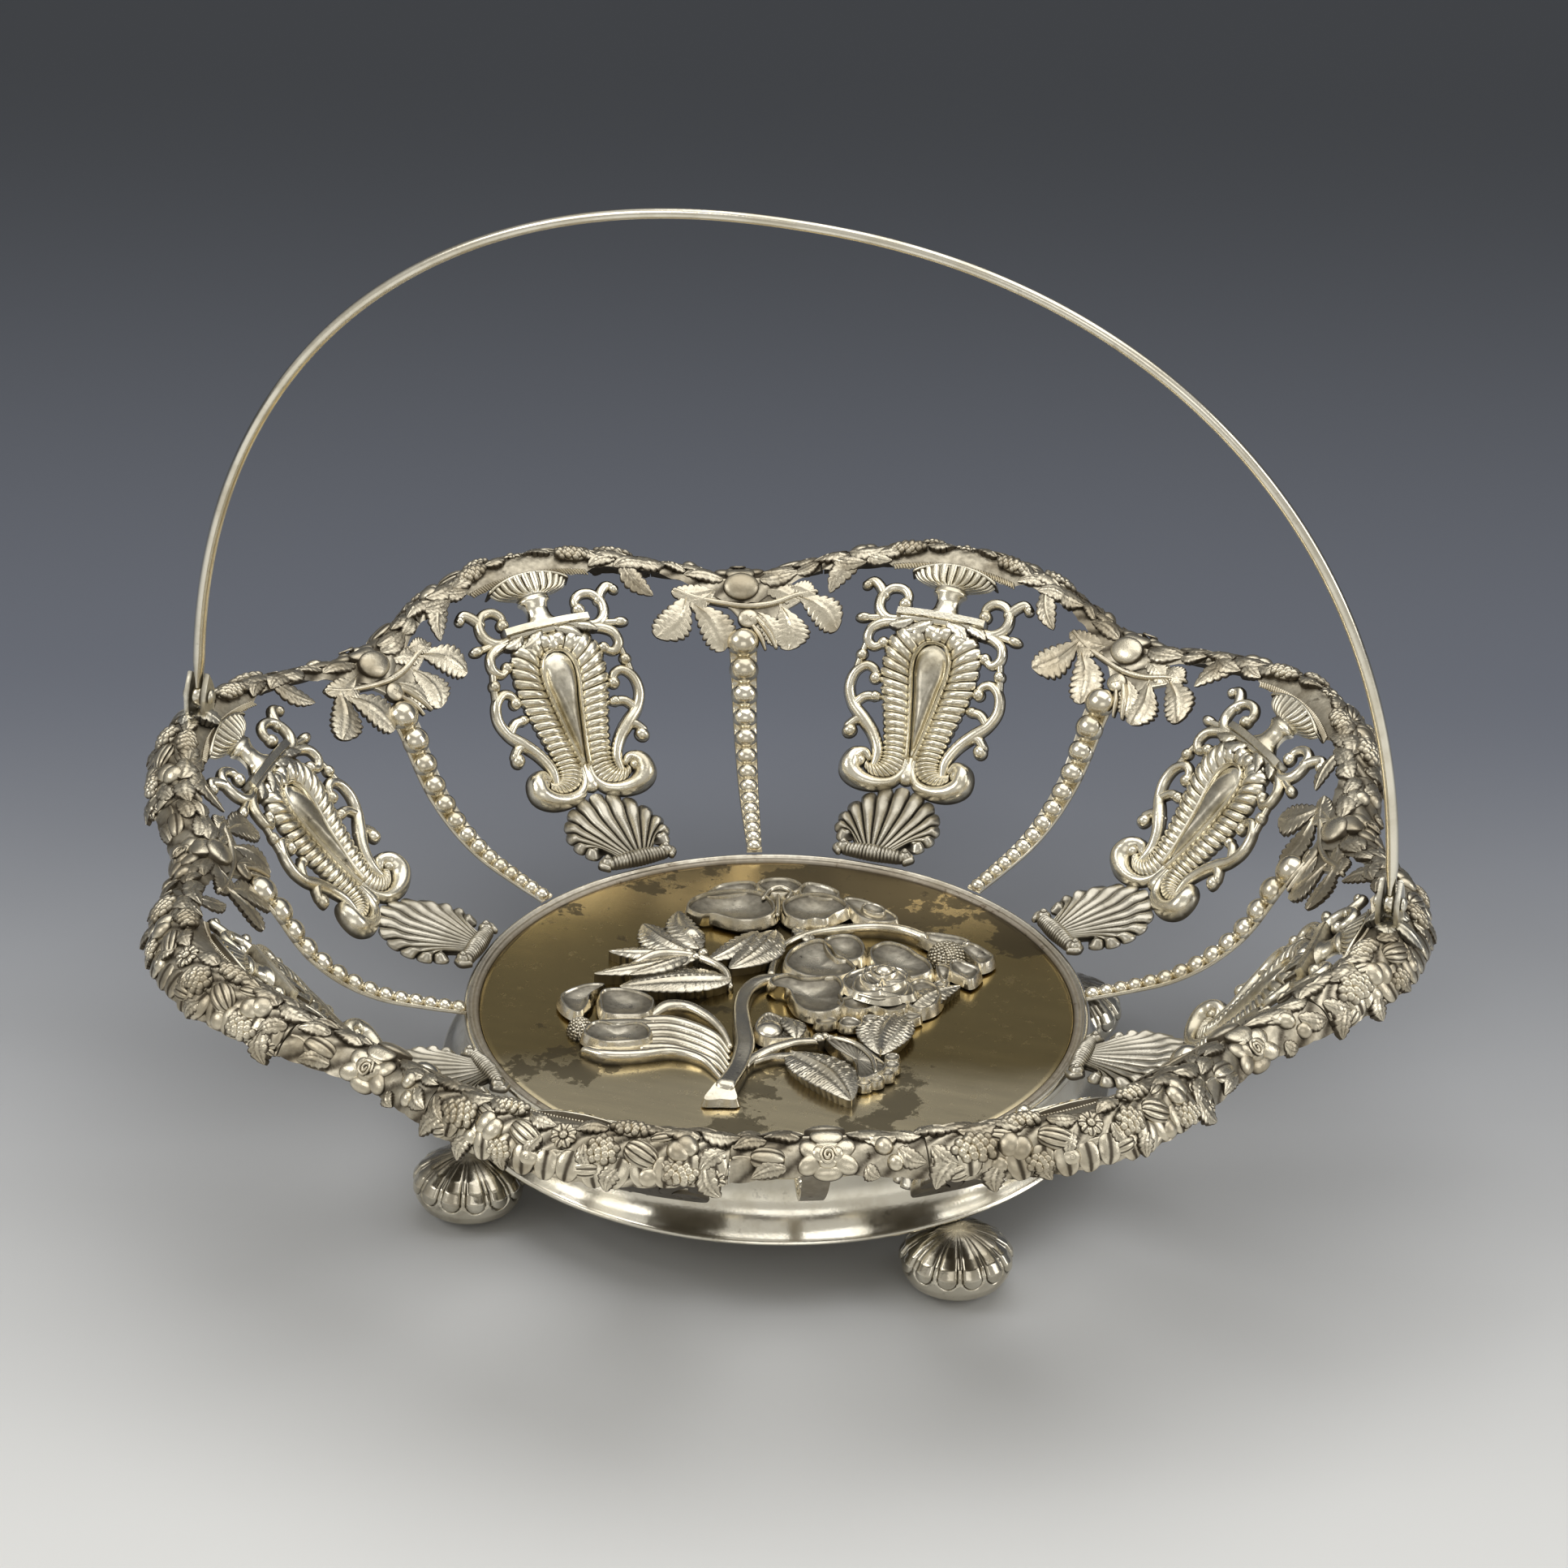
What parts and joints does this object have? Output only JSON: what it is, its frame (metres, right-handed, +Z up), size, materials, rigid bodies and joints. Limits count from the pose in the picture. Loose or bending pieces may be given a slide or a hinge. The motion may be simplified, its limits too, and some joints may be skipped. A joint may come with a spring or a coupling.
{
  "type": "swing-handle basket",
  "caption": "Round openwork silver basket with a gilt floor plate, lobed fruit and rose rim, bun feet, and a bail handle that swings between two hinge lugs.",
  "frame": {"origin": "on the ground, under the middle of the floor plate", "axes": "+Z up; the X axis runs through the two hinges, with +X at the picture's right; +Y points away from the picture's viewer"},
  "size_m": [0.2972, 0.2972, 0.2253],
  "materials": {
    "polished_silver": "polished silver with fine wear, warm tone",
    "foot_silver": "polished silver, dark tarnish between the gadroons",
    "cast_silver": "cast silver, bright on the high points and dark in the recesses",
    "rim_silver": "stamped silver with chased detail, brownish tarnish in the recesses",
    "hinge_silver": "cast silver, dull from handling",
    "spray_silver": "cast and chased silver, grey, satin",
    "gilt": "worn gilding, dull gold with darker clouding"
  },
  "bodies": {
    "basket": {"bun_foot_1": "foot_silver", "bun_foot_2": "foot_silver", "bun_foot_3": "foot_silver", "bun_foot_4": "foot_silver", "base_drum": "polished_silver", "plate_ring": "polished_silver", "gilt_plate": "gilt", "scallop_shell_1": "cast_silver", "scallop_shell_2": "cast_silver", "scallop_shell_3": "cast_silver", "scallop_shell_4": "cast_silver", "scallop_shell_5": "cast_silver", "scallop_shell_6": "cast_silver", "scallop_shell_7": "cast_silver", "scallop_shell_8": "cast_silver", "urn_panel_1": "cast_silver", "urn_panel_2": "cast_silver", "urn_panel_3": "cast_silver", "urn_panel_4": "cast_silver", "urn_panel_5": "cast_silver", "urn_panel_6": "cast_silver", "urn_panel_7": "cast_silver", "urn_panel_8": "cast_silver", "bead_strip_1": "cast_silver", "bead_strip_2": "cast_silver", "bead_strip_3": "cast_silver", "bead_strip_4": "cast_silver", "bead_strip_5": "cast_silver", "bead_strip_6": "cast_silver", "bead_strip_7": "cast_silver", "bead_strip_8": "cast_silver", "fruit_garland_1": "rim_silver", "fruit_garland_2": "rim_silver", "fruit_garland_3": "rim_silver", "fruit_garland_4": "rim_silver", "fruit_garland_5": "rim_silver", "fruit_garland_6": "rim_silver", "fruit_garland_7": "rim_silver", "fruit_garland_8": "rim_silver", "rose_spray_1": "rim_silver", "rose_spray_2": "rim_silver", "rose_spray_3": "rim_silver", "rose_spray_4": "rim_silver", "rose_spray_5": "rim_silver", "rose_spray_6": "rim_silver", "rose_spray_7": "rim_silver", "rose_spray_8": "rim_silver", "hinge_lug_right": "hinge_silver", "hinge_lug_left": "hinge_silver", "hinge_pin_right": "hinge_silver", "hinge_pin_left": "hinge_silver", "spray_stem": "spray_silver", "spray_tulip": "spray_silver", "spray_left_leaves": "spray_silver", "spray_upper_rose": "spray_silver", "spray_lower_rose": "spray_silver", "spray_berry_sprig": "spray_silver"},
    "handle": {"bail_handle": "polished_silver"}
  },
  "joints": [
    {"name": "handle_swing", "type": "hinge", "parent": "basket", "child": "handle", "pos_m": [0, 0, 0.0848], "axis": [1, 0, 0], "range_deg": [-90, 90]}
  ]
}
